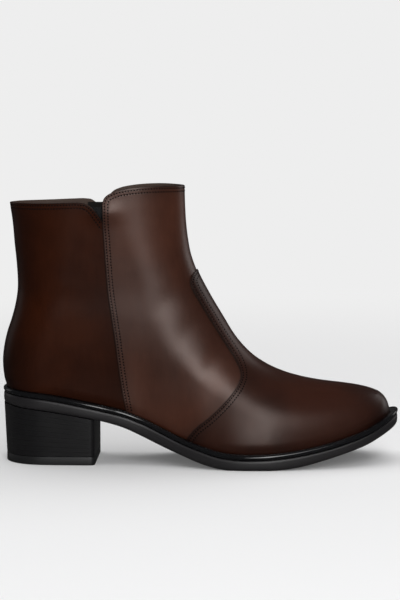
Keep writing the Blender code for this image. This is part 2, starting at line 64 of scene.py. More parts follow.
# Levels of the leather, from the front quarter's outer face
QUARTER_STEP = 0.8 * MM
UPPER_WALL = 2.2 * MM
LINING_LEVEL = -(QUARTER_STEP + UPPER_WALL)
GAP = 0.3 * MM
EDGE_EASE = 0.28 * MM

# Walls of the panels, whose inner faces are kept 0.1 mm apart
BACK_WALL = UPPER_WALL - 0.1 * MM
FRONT_WALL = QUARTER_STEP + UPPER_WALL
VAMP_WALL = 2 * QUARTER_STEP + UPPER_WALL - 0.2 * MM

# Faces of each panel's grid, and how its rows are crowded
BACK_COLUMNS, BACK_ROWS = 64, 96
BACK_ROW_EASE = 1.5
FRONT_COLUMNS, FRONT_ROWS = 72, 120
CROWDING_RISE = 30 * MM
VAMP_ACROSS, VAMP_ALONG = 36, 104
VAMP_LOW_ROWS, TONGUE_ROWS = 44, 64

# Side view of the upper, x and z in millimetres, from the feather edge up to the collar
FRONT_PROFILE = [
    (227.9, 31.8), (227.2, 35.4), (225.1, 40.5), (221.6, 44.1), (216.4, 46.4), (208.2, 48.6),
    (197.9, 50.3), (187.6, 51.6), (177.3, 53.2), (167.0, 55.5), (156.7, 58.7), (146.3, 63.4),
    (136.0, 70.2), (127.4, 79.0), (118.5, 92.4), (110.3, 106.0), (104.1, 117.0), (98.9, 128.0),
    (95.3, 138.0), (93.4, 148.0), (92.2, 158.0), (91.4, 172.0), (91.1, 184.5), (91.0, 192.0),
]
BACK_PROFILE = [
    (-29.1, 50.0), (-30.4, 55.0), (-31.1, 60.0), (-31.4, 68.6), (-30.4, 77.0), (-28.2, 86.6),
    (-25.2, 95.5), (-22.7, 105.0), (-21.4, 114.0), (-21.1, 123.0), (-21.7, 133.0),
    (-22.9, 145.0), (-24.1, 159.5), (-25.8, 172.0), (-26.6, 180.0),
]
TOE_CORNER_ROW = 3
TOE_END_ROW = 4

# Along the sole: x, top of the welt, underside of the outsole, projection past the upper
SOLE_LINE = [
    (-36, 50.8, 40.2, 1.3), (-30, 50.0, 39.4, 1.3), (5, 46.1, 35.2, 2.6), (22, 42.9, 32.4, 3.0),
    (39, 39.2, 29.0, 3.2), (52, 36.0, 25.1, 3.4), (64, 31.4, 19.7, 3.6), (76.5, 25.6, 13.9, 3.8),
    (91, 19.0, 7.9, 4.0), (104, 14.6, 3.2, 4.2), (113, 12.0, 1.0, 4.4), (123, 10.6, 0.0, 4.5),
    (138, 10.2, 0.0, 4.6), (153, 10.9, 0.2, 4.8), (168, 12.7, 1.9, 5.0), (183, 15.5, 5.4, 5.2),
    (198, 19.3, 9.6, 5.4), (213, 24.4, 14.6, 5.7), (224, 29.7, 19.8, 6.0), (236, 36.0, 26.0, 6.2),
]
FOREFOOT_FLAT = (120 * MM, 150 * MM)

# Half widths of the last at the feather edge: x, lateral, medial, from the toe-swing line
FEATHER_WIDTH = [
    (-36, 27.0, 27.0), (0, 27.3, 27.3), (20, 27.5, 26.5), (45, 27.0, 24.0), (65, 27.5, 22.0),
    (85, 32.0, 24.0), (105, 38.5, 29.5), (125, 42.8, 35.0), (145, 43.0, 37.6), (165, 40.5, 37.2),
    (185, 36.6, 35.2), (200, 32.8, 32.6), (210, 30.2, 30.4), (220, 27.5, 27.5), (236, 24.0, 24.0),
]
# Higher up the foot and leg: z, half width, rounding depth at the back, at the front
SHAFT_WIDTH = [
    (0, 27.0, 27.0, 30.0), (50, 27.3, 27.0, 34.0), (70, 29.0, 29.0, 42.0), (95, 28.4, 31.0, 42.0),
    (115, 27.4, 34.0, 38.0), (135, 27.6, 38.0, 38.0), (155, 28.2, 42.0, 42.0),
    (192, 29.0, 46.0, 46.0),
]
WIDTH_RISE = 76 * MM
ROUNDING_POWER = 2.2
BLEND_POWER = 4
FEATHER_TUCK = 0.045
FEATHER_TUCK_RISE = 7 * MM
TOE_SWING = 6.0 * MM
TOE_SWING_START_X = 140 * MM
BELOW_FEATHER = 3.5 * MM

# Panel edges in the side view, x and z in millimetres
SIDE_SEAM = [
    (54.5, 29.0), (53.1, 37.4), (50.6, 50.9), (48.1, 69.4), (45.6, 88.7), (44.2, 98.0),
    (41.8, 114.7), (40.2, 134.9), (39.4, 148.3), (38.7, 158.5),
]
VAMP_EDGE = [
    (93.2, 18.2), (99.7, 26.3), (107.8, 33.0), (116.8, 41.7), (122.8, 48.4), (127.0, 54.2),
    (128.9, 59.4), (128.0, 64.0), (125.2, 69.8), (119.1, 79.4), (110.9, 92.0), (106.3, 99.6),
    (101.4, 107.8), (97.1, 115.6), (95.4, 120.4), (96.1, 124.0), (98.9, 127.6),
]
COLLAR_BACK = [(-25.8, 172.4), (0.0, 172.7), (14.0, 173.2), (22.5, 173.4), (26.6, 173.0)]
NOTCH_BACK = [(26.6, 173.0), (30.4, 171.0), (33.8, 167.4), (36.8, 163.2), (39.7, 159.0)]
COLLAR_FRONT = [
    (38.5, 173.0), (39.4, 176.0), (41.9, 178.6), (45.7, 180.4), (53.9, 182.3), (62.4, 183.3),
    (74.0, 183.9), (91.1, 183.6),
]
# Soft creases of the worn-in leather: x, z, direction in degrees, length, width, depth.
# A negative depth is a ridge.
CREASES = [
    (112, 76, 55, 38, 10, 0.35), (103, 68, 60, 34, 8, -0.20), (96, 92, 48, 30, 9, 0.20),
    (84, 112, 38, 34, 11, 0.30), (-2, 112, -8, 34, 11, 0.35), (2, 122, -14, 30, 9, -0.20),
    (66, 80, 70, 44, 14, 0.25), (41, 167, 0, 13, 10, -1.6),
]
VAMP_CORNER = (128.9, 60.5)
VAMP_PEAK = (95.4, 120.4)
VAMP_FORK_Z = 69.4 * MM
VAMP_UNDERLAP = 4.0 * MM
UNDERLAP_TOP_Z = 121.5 * MM
SEAM_UNDERLAP = 1.2 * MM

# Zip on the medial side: its slot, tape and teeth
ZIP_SLOT_WIDTH = 9.0 * MM
ZIP_FOOT_Z = 63 * MM
ZIP_TOP_Z = 171 * MM
ZIP_TAPE_MARGIN = 5.0 * MM
ZIP_FOOT_ROUND = [(1.2, -4), (0.8, -1.6), (-1.6, 0.0), (-5, 0.9), (-7.8, 2.9), (-8.9, 6.0)]
ZIP_FOOT_REACH = (5 * MM, 7 * MM)
ZIP_CORNER = 2.0 * MM
TAPE_COLUMNS, TAPE_ROWS = 24, 149
TAPE_ROW_EASE = 1.3
TAPE_THICKNESS = 0.8 * MM
TOOTH_PITCH = 1.7 * MM
TOOTH_LENGTH = 3.2 * MM
TOOTH_SHARE = 0.62
TOOTH_BEVEL = 0.22 * MM
TOOTH_HEIGHT = 1.5 * MM
TOOTH_SWING = 0.85 * MM

# Elastic behind the notch: its edges in the side view in millimetres, and its ribs
GORE_BACK = [(20, 148), (20, 168.5)]
GORE_FRONT = [(46, 148), (46, 170)]
GORE_FOOT = [(20, 148), (46, 148)]
GORE_TOP = [(20, 168.5), (32, 170.5), (46, 170)]
GORE_COLUMNS, GORE_ROWS = 208, 8
GORE_THICKNESS = 1.0 * MM
RIB_PITCH = 1.3 * MM
RIB_HEIGHT = 0.16 * MM

# Stitches: rows beside an edge, and how far they stay from welt, notch and slot
STITCH_ROWS = (1.4 * MM, 3.6 * MM)
STITCH_PITCH = 1.9 * MM
STITCH_SHARE = 0.64
THREAD_WIDTH = 1.3 * MM
THREAD_SINK = -0.33 * MM
STITCH_FOOT = 0.8 * MM
NOTCH_STITCH_END = 1.5 * MM
SLOT_STITCH_END = 1.2 * MM
DIRECTION_STEP = 0.3 * MM

# Sole and heel
RIM_HALF = 130
WELT_THICKNESS = 3.3 * MM
WELT_BEAD_STEPS = 10
WELT_STITCH = 2.2 * MM
WELT_STITCH_SHARE = 0.7
WELT_THREAD = 0.5 * MM
INSOLE_RISE = 2.4 * MM
INSOLE_CLEARANCE = 1.0 * MM
INSOLE_EDGE = 0.8 * MM
INSOLE_EDGE_STEPS = 5
HEEL_BREAST_X = 32.5 * MM
HEEL_TAPER = 1.2 * MM
HEEL_INSET = 0.5 * MM
HEEL_FLARE = 0.3 * MM
HEEL_CORNER = 3.0 * MM
HEEL_LAYERS = 9
HEEL_GROOVE = 0.10 * MM
TOP_LIFT_THICKNESS = 5.5 * MM
HEEL_BACK_STEPS, HEEL_CORNER_STEPS = 48, 8

# One layer of the heel: share of its height from below, share of the groove's depth
HEEL_LAYER = [(0.0, 1.0), (0.04, 0.0), (0.96, 0.0), (1.0, 1.0)]
# Edge of the top lift: inset and height in millimetres
TOP_LIFT_EDGE = [(0.6, 0.0), (0.25, 0.12), (0.05, 0.35), (0.0, 0.7), (0.0, 5.1), (0.2, 5.5)]
# Edge of the outsole: inset in millimetres, share of the thickness from the floor side up
OUTSOLE_EDGE = [
    (2.4, 0.0), (1.6, 0.0), (1.1, 0.03), (0.7, 0.10), (0.4, 0.20), (0.3, 0.32), (0.25, 0.5),
    (0.3, 0.74), (0.35, 0.84), (0.55, 0.93), (0.95, 0.99), (1.2, 1.0),
]


def metres(table):
    return np.array(table, dtype=float) * MM


FRONT, BACK = metres(FRONT_PROFILE), metres(BACK_PROFILE)
SOLE, FEATHER, SHAFT = metres(SOLE_LINE), metres(FEATHER_WIDTH), metres(SHAFT_WIDTH)
SEAM = metres(SIDE_SEAM)


def smooth_value(at, xs, ys):
    """Cubic interpolation of ys over xs, with slopes averaged from the neighbours."""
    slopes = np.gradient(ys, xs)
    k = np.clip(np.searchsorted(xs, at) - 1, 0, len(xs) - 2)
    span = xs[k + 1] - xs[k]
    u = np.clip((at - xs[k]) / span, 0.0, 1.0)
    start = (1 + 2 * u) * (1 - u) ** 2 * ys[k] + u * (1 - u) ** 2 * span * slopes[k]
    end = u * u * (3 - 2 * u) * ys[k + 1] - u * u * (1 - u) * span * slopes[k + 1]
    return start + end


def column(table, at, index):
    return smooth_value(at, table[:, 0], table[:, index])


def arc_length(points):
    """Length along a polyline, at each of its points."""
    return np.concatenate([[0.0], np.cumsum(np.linalg.norm(np.diff(points, axis=0), axis=1))])


def unit(vectors):
    """A row of vectors, each brought to length one."""
    return vectors / np.maximum(np.linalg.norm(vectors, axis=-1), 1e-12)[:, None]


def at_lengths(at, length, points):
    """Points on a polyline at the given lengths along it."""
    return np.stack([np.interp(at, length, values) for values in points.T], axis=-1)


def along(points, fraction):
    """Points on a smooth curve through the given ones, at fractions of its length."""
    length = arc_length(points)
    at = fraction * length[-1]
    return np.stack([smooth_value(at, length, values) for values in points.T], axis=-1)


def dense(points, steps=12):
    """The smooth curve with several points between each two rows."""
    return along(points, np.linspace(0, 1, (len(points) - 1) * steps + 1))


def evenly(points, fraction):
    """Points at fractions of a dense polyline's length."""
    length = arc_length(points)
    return at_lengths(fraction * length[-1], length, points)


def smooth_step(value):
    value = np.clip(value, 0.0, 1.0)
    return value * value * (3 - 2 * value)


def welt_top(x):
    return column(SOLE, x, 1)


def outsole_bottom(x):
    height = np.maximum(column(SOLE, x, 2), 0.0)
    on_floor = (x > FOREFOOT_FLAT[0]) & (x < FOREFOOT_FLAT[1])
    return np.where(on_floor, 0.0, height)


def centre_line(x):
    return TOE_SWING * smooth_step((x - TOE_SWING_START_X) / (FRONT[0, 0] - TOE_SWING_START_X))


def distance_to(x, z, line):
    """Distance in the side view from each point to a polyline."""
    shape = np.shape(x)
    px, pz = np.ravel(x), np.ravel(z)
    nearest = np.full(px.shape, np.inf)
    for (ax, az), (bx, bz) in zip(line[:-1], line[1:]):
        dx, dz = bx - ax, bz - az
        t = np.clip(((px - ax) * dx + (pz - az) * dz) / max(dx * dx + dz * dz, 1e-18), 0.0, 1.0)
        nearest = np.minimum(nearest, np.hypot(px - ax - t * dx, pz - az - t * dz))
    return nearest.reshape(shape)


def lowered(profile):
    """A profile with one more point below the feather edge."""
    return np.vstack([profile[0] - (0, BELOW_FEATHER), profile])


FRONT_LINE = along(lowered(FRONT), np.linspace(0, 1, 240))
BACK_LINE = along(lowered(BACK), np.linspace(0, 1, 160))
TOE_END = FRONT_LINE[FRONT_LINE[:, 0] >= FRONT[TOE_CORNER_ROW, 0] - MM]
INSTEP = FRONT_LINE[FRONT_LINE[:, 0] <= FRONT[TOE_CORNER_ROW, 0] + MM]


def rounding(distance, depth):
    """From 0 at the outline to 1 at the given depth, with a round shoulder."""
    left = 1 - np.clip(distance / depth, 0.0, 1.0)
    return (1 - left ** ROUNDING_POWER) ** (1 / ROUNDING_POWER)


def upper_side(x, z, side):
    """Y of the upper's outer face at side-view points; side is 1 lateral or 2 medial."""
    rise = z - welt_top(x)
    feather = column(FEATHER, x, side)
    shaft = column(SHAFT, z, 1)
    width = feather + (shaft - feather) * smooth_step(rise / WIDTH_RISE)
    toe = np.maximum(distance_to(x, z, TOE_END), 1e-9)
    instep = np.maximum(distance_to(x, z, INSTEP), 1e-9)
    front = (toe ** -BLEND_POWER + instep ** -BLEND_POWER) ** (-1 / BLEND_POWER)
    width = width * rounding(front, column(SHAFT, z, 3))
    width = width * rounding(distance_to(x, z, BACK_LINE), column(SHAFT, z, 2))
    tuck = FEATHER_TUCK * np.clip(1 - rise / FEATHER_TUCK_RISE, 0.0, 1.5) ** 2
    direction = -1 if side == 1 else 1
    return centre_line(x) + direction * width * (1 - tuck)


def seam_x(z):
    return smooth_value(z, SEAM[:, 1], SEAM[:, 0])


def coons(left, right, bottom, top, u, v):
    """A side-view grid between four borders that are given point by point.

    The left and right borders have a point for each row, at v; the bottom and top borders
    have one for each column, at u, or a table of them where u differs from row to row.
    """
    left, right = left[:, None], right[:, None]
    u, v = np.broadcast_to(u, (len(v), np.shape(u)[-1]))[..., None], v[:, None, None]
    corners = ((1 - u) * (1 - v) * left[:1] + u * (1 - v) * right[:1]
               + (1 - u) * v * left[-1:] + u * v * right[-1:])
    grid = (1 - v) * bottom + v * top + (1 - u) * left + u * right - corners
    return grid[..., 0], grid[..., 1]


def eased_to_end(count):
    """Fractions from 0 to 1, crowded towards 1 where the surface turns over its ridge."""
    return np.sin(np.linspace(0, math.pi / 2, count + 1))


def eased_from_start(count):
    return 1 - eased_to_end(count)[::-1]


def feather_line(from_x, to_x):
    x = np.linspace(from_x, to_x, 160)
    return np.column_stack([x, welt_top(x) + GAP])


def profile_between(line, low_z, high_z):
    """The part of a dense profile between two heights, with its ends on them."""
    inside = line[(line[:, 1] > low_z) & (line[:, 1] < high_z)]
    ends = [(np.interp(z, line[:, 1], line[:, 0]), z) for z in (low_z, high_z)]
    return np.vstack([ends[0], inside, ends[1]])


def on_feather(line):
    """A line cut off where it meets the feather edge at its lower end."""
    above = line[line[:, 1] > welt_top(line[:, 0]) + GAP + TOLERANCE]
    first = above[0]
    return np.vstack([(first[0], welt_top(first[0]) + GAP), above])


SEAM_LINE = on_feather(dense(SEAM))
VAMP_LINE = on_feather(dense(metres(VAMP_EDGE)))
COLLAR_BACK_LINE = np.vstack([dense(metres(COLLAR_BACK)), dense(metres(NOTCH_BACK))[1:]])
COLLAR_FRONT_LINE = dense(metres(COLLAR_FRONT))
QUARTER_EDGE_LINE = np.vstack([SEAM_LINE, COLLAR_FRONT_LINE[:1]])


# Shapes


def deselect():
    bpy.ops.object.select_all(action="DESELECT")


def make_active(piece):
    deselect()
    piece.select_set(True)
    bpy.context.view_layer.objects.active = piece


def apply_modifiers(piece):
    make_active(piece)
    for modifier in list(piece.modifiers):
        bpy.ops.object.modifier_apply(modifier=modifier.name)


def apply_place(piece):
    make_active(piece)
    bpy.ops.object.transform_apply(location=True, rotation=True, scale=True)


def add_object(name, data):
    made = bpy.data.objects.new(name, data)
    bpy.context.scene.collection.objects.link(made)
    return made


def object_from(name, points, faces):
    mesh = bpy.data.meshes.new(name)
    mesh.from_pydata([tuple(point) for point in points], [], [tuple(face) for face in faces])
    mesh.update()
    return add_object(name, mesh)


def grid_faces(rows, columns, first=0, flip=False):
    corner = first + np.arange(rows - 1)[:, None] * columns + np.arange(columns - 1)[None]
    faces = np.stack([corner, corner + 1, corner + columns + 1, corner + columns], axis=-1)
    faces = faces.reshape(-1, 4)
    return faces[:, ::-1] if flip else faces


def shade(piece, angle):
    make_active(piece)
    bpy.ops.object.shade_smooth_by_angle(angle=math.radians(angle))


def hand_over(piece, materials, body="boot", replaces=(), angle=40):
    """Dress a finished piece, hide the solids that it stands for and hang it under its body's
    empty.
    """
    for material in materials:
        piece.data.materials.append(material)
    apply_modifiers(piece)
    shade(piece, angle)
    if replaces:
        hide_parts(*replaces)
    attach(piece, body)


def thicken(piece, thickness):
    """A wall inwards from the piece's face."""
    wall = piece.modifiers.new("wall", "SOLIDIFY")
    wall.thickness = thickness
    wall.offset = -1
    return wall


def ease_edges(piece):
    rim = piece.modifiers.new("rim", "BEVEL")
    rim.width = EDGE_EASE
    rim.segments = 2
    rim.limit_method = "ANGLE"
    rim.angle_limit = math.radians(55)


def bevel_faces(piece, chosen, width, segments):
    """Bevel the edges of the faces whose normals pass a test."""
    bpy.ops.object.mode_set(mode="EDIT")
    bpy.ops.mesh.select_all(action="DESELECT")
    bpy.ops.object.mode_set(mode="OBJECT")
    for face in piece.data.polygons:
        face.select = chosen(face.normal)
    bpy.ops.object.mode_set(mode="EDIT")
    bpy.ops.mesh.select_mode(type="FACE")
    bpy.ops.mesh.bevel(offset=width, segments=segments, affect="EDGES")
    bpy.ops.object.mode_set(mode="OBJECT")


def set_attribute(piece, name, values):
    attribute = piece.data.attributes.new(name, "FLOAT", "POINT")
    attribute.data.foreach_set("value", np.asarray(values, dtype=np.float32))


def crease_level(x, z):
    level = np.zeros_like(x)
    for row in CREASES:
        cx, cz, _, length, width, depth = metres(row)
        turn = math.radians(row[2])
        a = (x - cx) * math.cos(turn) + (z - cz) * math.sin(turn)
        b = (z - cz) * math.cos(turn) - (x - cx) * math.sin(turn)
        level -= depth * np.exp(-(a / length) ** 2 * 2 - (b / width) ** 2 * 2)
    return level


def leather_panel(name, halves, level, depth, materials):
    """A wall of leather from side-view grids.

    Each half is x, z, side, the mask of its points on the outline, the sewn edges and all
    edges. Points on the outline, where the two sides meet, lie on the centre line.
    """
    points, faces, sewn, edge = [], [], [], []
    for x, z, side, on_outline, sewn_lines, edge_lines in halves:
        y = np.where(on_outline, centre_line(x), upper_side(x, z, side))
        faces += list(grid_faces(*x.shape, first=len(points), flip=side == 2))
        points += list(np.stack([x, y, z], axis=-1).reshape(-1, 3))
        sewn.append(np.min([distance_to(x, z, line) for line in sewn_lines], axis=0).ravel())
        edge.append(np.min([distance_to(x, z, line) for line in edge_lines], axis=0).ravel())
    panel = object_from(name, points, faces)
    set_attribute(panel, "sewn", np.concatenate(sewn))
    set_attribute(panel, "edge", np.concatenate(edge))
    bm = bmesh.new()
    bm.from_mesh(panel.data)
    bmesh.ops.remove_doubles(bm, verts=bm.verts, dist=1e-6)
    bm.normal_update()
    place = np.array([vertex.co for vertex in bm.verts])
    normals = np.array([vertex.normal for vertex in bm.verts])
    place += normals * (level + crease_level(place[:, 0], place[:, 2]))[:, None]
    for vertex, point in zip(bm.verts, place):
        vertex.co = point
    bm.to_mesh(panel.data)
    bm.free()
    wall = thicken(panel, depth)
    wall.material_offset = 1
    wall.material_offset_rim = 2
    ease_edges(panel)
    hand_over(panel, materials, replaces=["upper"], angle=50)


def zip_slot_edge(heights):
    return np.column_stack([seam_x(np.minimum(heights, SEAM[-1, 1])) - ZIP_SLOT_WIDTH, heights])


def build_back_quarter(materials):
    """Back quarter: from the side seam round the heel to the zip slot."""
    back = profile_between(BACK_LINE, welt_top(BACK[0, 0]) + GAP, COLLAR_BACK[0][1] * MM)
    under = (SEAM_UNDERLAP, 0)
    lateral_edge = SEAM_LINE[SEAM_LINE[:, 1] < NOTCH_BACK[-1][1] * MM - MM] + under
    lateral_edge = np.vstack([lateral_edge, metres(NOTCH_BACK[-1])])
    foot_x = float(seam_x(ZIP_FOOT_Z))
    reach_down, reach_up = ZIP_FOOT_REACH
    below = SEAM_LINE[SEAM_LINE[:, 1] < ZIP_FOOT_Z - reach_down] + under
    slot = zip_slot_edge(np.linspace(ZIP_FOOT_Z + reach_up, ZIP_TOP_Z, 60))
    medial_edge = np.vstack([below, dense(metres(ZIP_FOOT_ROUND) + (foot_x, ZIP_FOOT_Z)), slot])
    collar_end = COLLAR_BACK_LINE[COLLAR_BACK_LINE[:, 0] < slot[-1, 0] - ZIP_CORNER]
    medial_top = np.vstack([collar_end, slot[-1]])
    u, v = eased_from_start(BACK_COLUMNS), np.linspace(0, 1, BACK_ROWS + 1)
    heel_rows = evenly(back, v ** BACK_ROW_EASE)
    halves = []
    for edge, top, side in ((lateral_edge, COLLAR_BACK_LINE, 1), (medial_edge, medial_top, 2)):
        bottom = feather_line(BACK[0, 0], edge[0, 0])
        x, z = coons(heel_rows, evenly(edge, v), evenly(bottom, u), evenly(top, u), u, v)
        on_heel = np.zeros(x.shape, dtype=bool)
        on_heel[:, 0] = True
        sewn = [top] if side == 1 else [top, slot]
        halves.append((x, z, side, on_heel, sewn, sewn + [SEAM_LINE]))
    leather_panel("back_quarter", halves, -QUARTER_STEP, BACK_WALL, materials)


def build_front_quarter(materials):
    """Front quarter: from the side seam over the instep and down the other side."""
    under = on_feather(VAMP_LINE + (VAMP_UNDERLAP, 0))
    lower = under[under[:, 1] < UNDERLAP_TOP_Z - 5 * MM]
    upper_part = profile_between(FRONT_LINE, UNDERLAP_TOP_Z, COLLAR_FRONT[-1][1] * MM)
    right = np.vstack([lower, upper_part])
    top = np.vstack([COLLAR_FRONT_LINE[:-1], upper_part[-1]])
    v = np.linspace(0, 1, FRONT_ROWS + 1)
    right = evenly(right, v)
    height = right[:, 1]
    crowding = smooth_step((height[:, None] - UNDERLAP_TOP_Z + CROWDING_RISE) / CROWDING_RISE)
    even = np.linspace(0, 1, FRONT_COLUMNS + 1)
    u = (1 - crowding) * even + crowding * eased_to_end(FRONT_COLUMNS)
    bottom = feather_line(SEAM_LINE[0, 0], right[0, 0])
    x, z = coons(evenly(QUARTER_EDGE_LINE, v), right, evenly(bottom, u), evenly(top, u), u, v)
    on_ridge = np.zeros(x.shape, dtype=bool)
    on_ridge[height >= UNDERLAP_TOP_Z, -1] = True
    sewn = [QUARTER_EDGE_LINE, COLLAR_FRONT_LINE]
    halves = [(x, z, side, on_ridge, sewn, sewn + [VAMP_LINE]) for side in (1, 2)]
    leather_panel("front_quarter", halves, 0.0, FRONT_WALL, materials)


def vamp_row(point):
    """Index of the vamp edge's point nearest to one given in millimetres."""
    return np.argmin(np.hypot(*(VAMP_LINE - metres(point)).T))


def build_vamp(materials):
    """Vamp: over the toes and forefoot, with a tongue up the instep, lapped onto the quarters."""
    corner, peak = vamp_row(VAMP_CORNER), vamp_row(VAMP_PEAK)
    lower, upper, crest = VAMP_LINE[:corner + 1], VAMP_LINE[corner:peak + 1], VAMP_LINE[peak:]
    top_z, fork_z, toe_z = crest[-1, 1], VAMP_FORK_Z, FRONT[TOE_END_ROW, 1]
    ridge = profile_between(FRONT_LINE, toe_z, fork_z)[::-1]
    instep = profile_between(FRONT_LINE, fork_z, top_z)
    toe = profile_between(FRONT_LINE, FRONT[0, 1] + GAP, toe_z)
    across, along_foot = eased_to_end(VAMP_ACROSS), eased_to_end(VAMP_ALONG)
    fork = evenly(np.vstack([lower[-1], ridge[0]]), across)

    low_rows = np.linspace(0, 1, VAMP_LOW_ROWS + 1)
    left = np.vstack([evenly(lower, low_rows), fork[1:]])
    v = arc_length(left)
    v /= v[-1]
    bottom = feather_line(left[0, 0], toe[0, 0])
    bottom[-1] = toe[0]
    forefoot = coons(left, evenly(toe, v), evenly(bottom, along_foot), evenly(ridge, along_foot),
                     along_foot, v)

    rows = np.linspace(0, 1, TONGUE_ROWS + 1)
    crest = evenly(np.vstack([crest[:-1], instep[-1]]), across)
    tongue = coons(evenly(upper, rows), evenly(instep, rows), fork, crest, across, rows)
    halves = []
    for x, z in (forefoot, tongue):
        on_ridge = np.zeros(x.shape, dtype=bool)
        on_ridge[:, -1] = True
        if x is forefoot[0]:
            on_ridge[-1, :] = True
        halves += [(x, z, side, on_ridge, [VAMP_LINE], [VAMP_LINE]) for side in (1, 2)]
    leather_panel("vamp", halves, QUARTER_STEP, VAMP_WALL, materials)


# Thread


def skin(x, z, side, level):
    """Points at a level over the upper's face, and the face's normals."""
    step = 0.15 * MM
    y = upper_side(x, z, side)
    along_x = (upper_side(x + step, z, side) - upper_side(x - step, z, side)) / (2 * step)
    along_z = (upper_side(x, z + step, side) - upper_side(x, z - step, side)) / (2 * step)
    direction = -1 if side == 1 else 1
    normal = unit(direction * np.stack([-along_x, np.ones_like(x), -along_z], axis=-1))
    place = np.stack([x, y, z], axis=-1)
    return place + normal * (level + crease_level(x, z))[:, None], normal


def beside(line, distance):
    """A dense line moved to the right of its own direction in the side view."""
    tangent = unit(np.gradient(line, axis=0))
    return line + distance * np.column_stack([tangent[:, 1], -tangent[:, 0]])


def inside_outline(line):
    """The stretch of a side-view line that lies between the front and back outlines."""
    front = np.interp(line[:, 1], FRONT_LINE[:, 1], FRONT_LINE[:, 0])
    back = np.interp(line[:, 1], BACK_LINE[:, 1], BACK_LINE[:, 0])
    above = line[:, 1] > welt_top(line[:, 0]) + STITCH_FOOT
    return line[(line[:, 0] < front - TOLERANCE) & (line[:, 0] > back + TOLERANCE) & above]


def stitch_master(length, width):
    """One stitch: a short thread, rounded at both ends."""
    deselect()
    bpy.ops.mesh.primitive_cylinder_add(
        vertices=8, radius=width / 2, depth=length, end_fill_type="NGON",
        rotation=(0, math.pi / 2, 0))
    stitch = bpy.context.object
    apply_place(stitch)
    bevel_faces(stitch, lambda normal: abs(normal.x) > 0.9, width * 0.42, 2)
    return stitch


def copies_of(master, name, places, directions, normals):
    """One mesh with a copy of the master at each place: its X runs along the direction."""
    shape = np.array([vertex.co for vertex in master.data.vertices])
    faces = [list(face.vertices) for face in master.data.polygons]
    sideways = unit(np.cross(normals, directions))
    normals = np.cross(directions, sideways)
    axes = np.stack([directions, sideways, normals], axis=1)
    points = np.einsum("vi,nij->nvj", shape, axes) + np.asarray(places)[:, None]
    joined = [[corner + n * len(shape) for corner in face]
              for n in range(len(points)) for face in faces]
    return object_from(name, points.reshape(-1, 3), joined)


def stations(path, normals, pitch):
    """Places, directions and normals at even distances along a path in space."""
    length = arc_length(path)
    at = np.arange(pitch / 2, length[-1], pitch)
    ahead = at_lengths(at + DIRECTION_STEP, length, path)
    behind = at_lengths(at - DIRECTION_STEP, length, path)
    normal = unit(at_lengths(at, length, normals))
    return at_lengths(at, length, path), unit(ahead - behind), normal


def repeat_along(master, name, paths, pitch):
    """One mesh with copies of the master along paths with their normals; the master goes."""
    found = [stations(path, normals, pitch) for path, normals in paths]
    places, directions, normals = (np.concatenate(part) for part in zip(*found))
    copies = copies_of(master, name, places, directions, normals)
    bpy.data.objects.remove(master)
    return copies


def fine(line):
    """A line resampled densely, and crowded at its ends, where it may reach the outline."""
    share = (1 - np.cos(np.linspace(0, math.pi, 900))) / 2
    return evenly(line, share)


def sew(name, rows, level, material):
    """Rows of stitches: each row is a side-view line and its side."""
    master = stitch_master(STITCH_PITCH * STITCH_SHARE, THREAD_WIDTH)
    lines = [(fine(inside_outline(line)), side) for line, side in rows]
    paths = [skin(line[:, 0], line[:, 1], side, level) for line, side in lines]
    thread = repeat_along(master, name, paths, STITCH_PITCH)
    hand_over(thread, [material], angle=60)


def build_stitching(material):
    outline = np.vstack([QUARTER_EDGE_LINE[:-1], COLLAR_FRONT_LINE])
    quarter_rows = [(beside(outline, row), side) for row in STITCH_ROWS for side in (1, 2)]
    sew("front_quarter_stitches", quarter_rows, THREAD_SINK, material)
    back_rows = []
    for row in STITCH_ROWS:
        line = beside(COLLAR_BACK_LINE, row)
        to_seam = SEAM[-1, 0] - line[:, 0]
        back_rows.append((line[to_seam > NOTCH_STITCH_END], 1))
        back_rows.append((line[to_seam > ZIP_SLOT_WIDTH + SLOT_STITCH_END], 2))
    slot = zip_slot_edge(np.linspace(ZIP_FOOT_Z + 4 * MM, ZIP_TOP_Z - 4 * MM, 80))
    back_rows.append((slot - (STITCH_ROWS[0], 0), 2))
    sew("back_quarter_stitches", back_rows, THREAD_SINK - QUARTER_STEP, material)
    vamp_rows = [(beside(VAMP_LINE, row), side) for row in STITCH_ROWS for side in (1, 2)]
    sew("vamp_stitches", vamp_rows, THREAD_SINK + QUARTER_STEP, material)


# Sole and heel


def rim_loop(half_stations):
    """The upper's feather edge in plan, from the heel round the lateral side to the toe."""
    turn = np.linspace(0, math.pi, half_stations + 1)
    x = BACK[0, 0] + (1 - np.cos(turn)) / 2 * (FRONT[0, 0] - BACK[0, 0])
    lateral = upper_side(x, welt_top(x), 1)
    medial = upper_side(x, welt_top(x), 2)
    lateral[0] = medial[0] = 0.0
    lateral[-1] = medial[-1] = TOE_SWING
    plan_x = np.concatenate([x, x[-2:0:-1]])
    plan_y = np.concatenate([lateral, medial[-2:0:-1]])
    return np.stack([plan_x, plan_y], axis=-1)


RIM = rim_loop(RIM_HALF)
PROJECTION = column(SOLE, RIM[:, 0], 3)


def offset_rim(distance):
    """The rim moved outwards by a distance, or by one distance per point."""
    tangent = np.roll(RIM, -1, axis=0) - np.roll(RIM, 1, axis=0)
    normal = unit(np.stack([tangent[:, 1], -tangent[:, 0]], axis=-1))
    return RIM + normal * np.broadcast_to(distance, len(RIM))[:, None]


def sole_loop(distance, from_edge, height):
    """A loop at a plan offset from the upper, or from the sole's edge, and its heights."""
    plan = offset_rim(distance + PROJECTION * from_edge)
    return np.column_stack([plan, height(plan[:, 0])])


